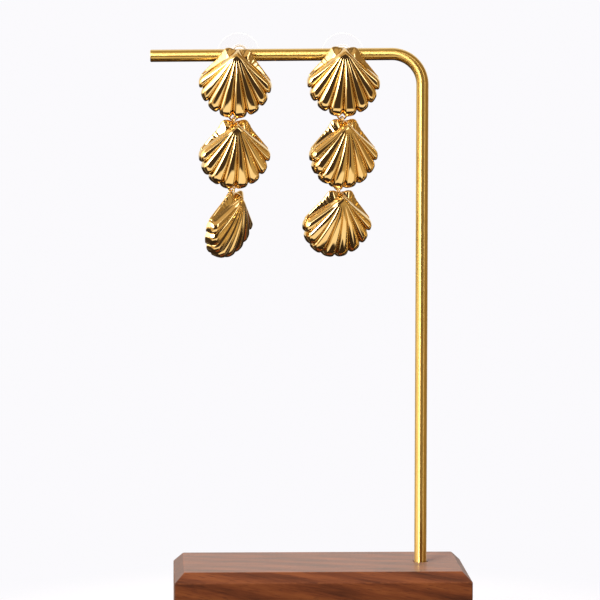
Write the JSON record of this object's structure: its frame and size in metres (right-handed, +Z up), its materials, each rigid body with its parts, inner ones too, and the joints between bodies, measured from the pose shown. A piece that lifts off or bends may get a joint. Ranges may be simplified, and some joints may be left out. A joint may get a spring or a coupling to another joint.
{
  "type": "pair of chandelier earrings on a display stand",
  "caption": "Scallop-shell drop earrings, each a tier of linked hollow gold shells, hung by their posts from a bent brass rod on a chamfered walnut block.",
  "frame": {"origin": "centre of the block's underside", "axes": "+X along the block towards the upright, +Y from the shells' faces towards their backs, +Z up along the upright"},
  "size_m": [0.0822, 0.0382, 0.1566],
  "materials": {
    "walnut": "oiled, satin",
    "satin_brass": "drawn and lightly brushed",
    "polished_gold": "polished gold plating",
    "clear_plastic": "clear, moulded"
  },
  "bodies": {
    "stand": {"walnut_block": "walnut", "brass_rod": "satin_brass", "left_top_shell": "polished_gold", "left_ear_back": "clear_plastic", "right_top_shell": "polished_gold", "right_ear_back": "clear_plastic"},
    "left_upper_link": {"left_upper_jump_ring": "polished_gold"},
    "left_middle_drop": {"left_middle_shell": "polished_gold"},
    "left_lower_link": {"left_lower_jump_ring": "polished_gold"},
    "left_lower_drop": {"left_lower_shell": "polished_gold"},
    "right_upper_link": {"right_upper_jump_ring": "polished_gold"},
    "right_middle_drop": {"right_middle_shell": "polished_gold"},
    "right_lower_link": {"right_lower_jump_ring": "polished_gold"},
    "right_lower_drop": {"right_lower_shell": "polished_gold"}
  },
  "joints": [
    {"name": "left_middle_turn", "type": "hinge", "parent": "stand", "child": "left_upper_link", "pos_m": [-0.02262, 0.00017, 0.13633], "axis": [0, 0, 1], "range_deg": [-28, 12]},
    {"name": "left_middle_swing", "type": "hinge", "parent": "left_upper_link", "child": "left_middle_drop", "pos_m": [-0.02262, 0.00017, 0.13403], "axis": [0.9703, 0.2419, 0], "range_deg": [-10, 30]},
    {"name": "left_lower_turn", "type": "hinge", "parent": "left_middle_drop", "child": "left_lower_link", "pos_m": [-0.02311, 0.00212, 0.11811], "axis": [0, 0, 1], "range_deg": [-48, 6]},
    {"name": "left_lower_swing", "type": "hinge", "parent": "left_lower_link", "child": "left_lower_drop", "pos_m": [-0.02311, 0.00212, 0.11581], "axis": [0.5446, 0.8387, 0], "range_deg": [-20, 30]},
    {"name": "right_middle_turn", "type": "hinge", "parent": "stand", "child": "right_upper_link", "pos_m": [0.00524, -0.0012, 0.13656], "axis": [0, 0, 1], "range_deg": [-34, 16]},
    {"name": "right_middle_swing", "type": "hinge", "parent": "right_upper_link", "child": "right_middle_drop", "pos_m": [0.00524, -0.0012, 0.13426], "axis": [0.9272, 0.3746, 0], "range_deg": [-10, 30]},
    {"name": "right_lower_turn", "type": "hinge", "parent": "right_middle_drop", "child": "right_lower_link", "pos_m": [0.00449, 0.00066, 0.11834], "axis": [0, 0, 1], "range_deg": [-25, 25]},
    {"name": "right_lower_swing", "type": "hinge", "parent": "right_lower_link", "child": "right_lower_drop", "pos_m": [0.00449, 0.00066, 0.11604], "axis": [0.9397, 0.342, 0], "range_deg": [-20, 30]}
  ]
}
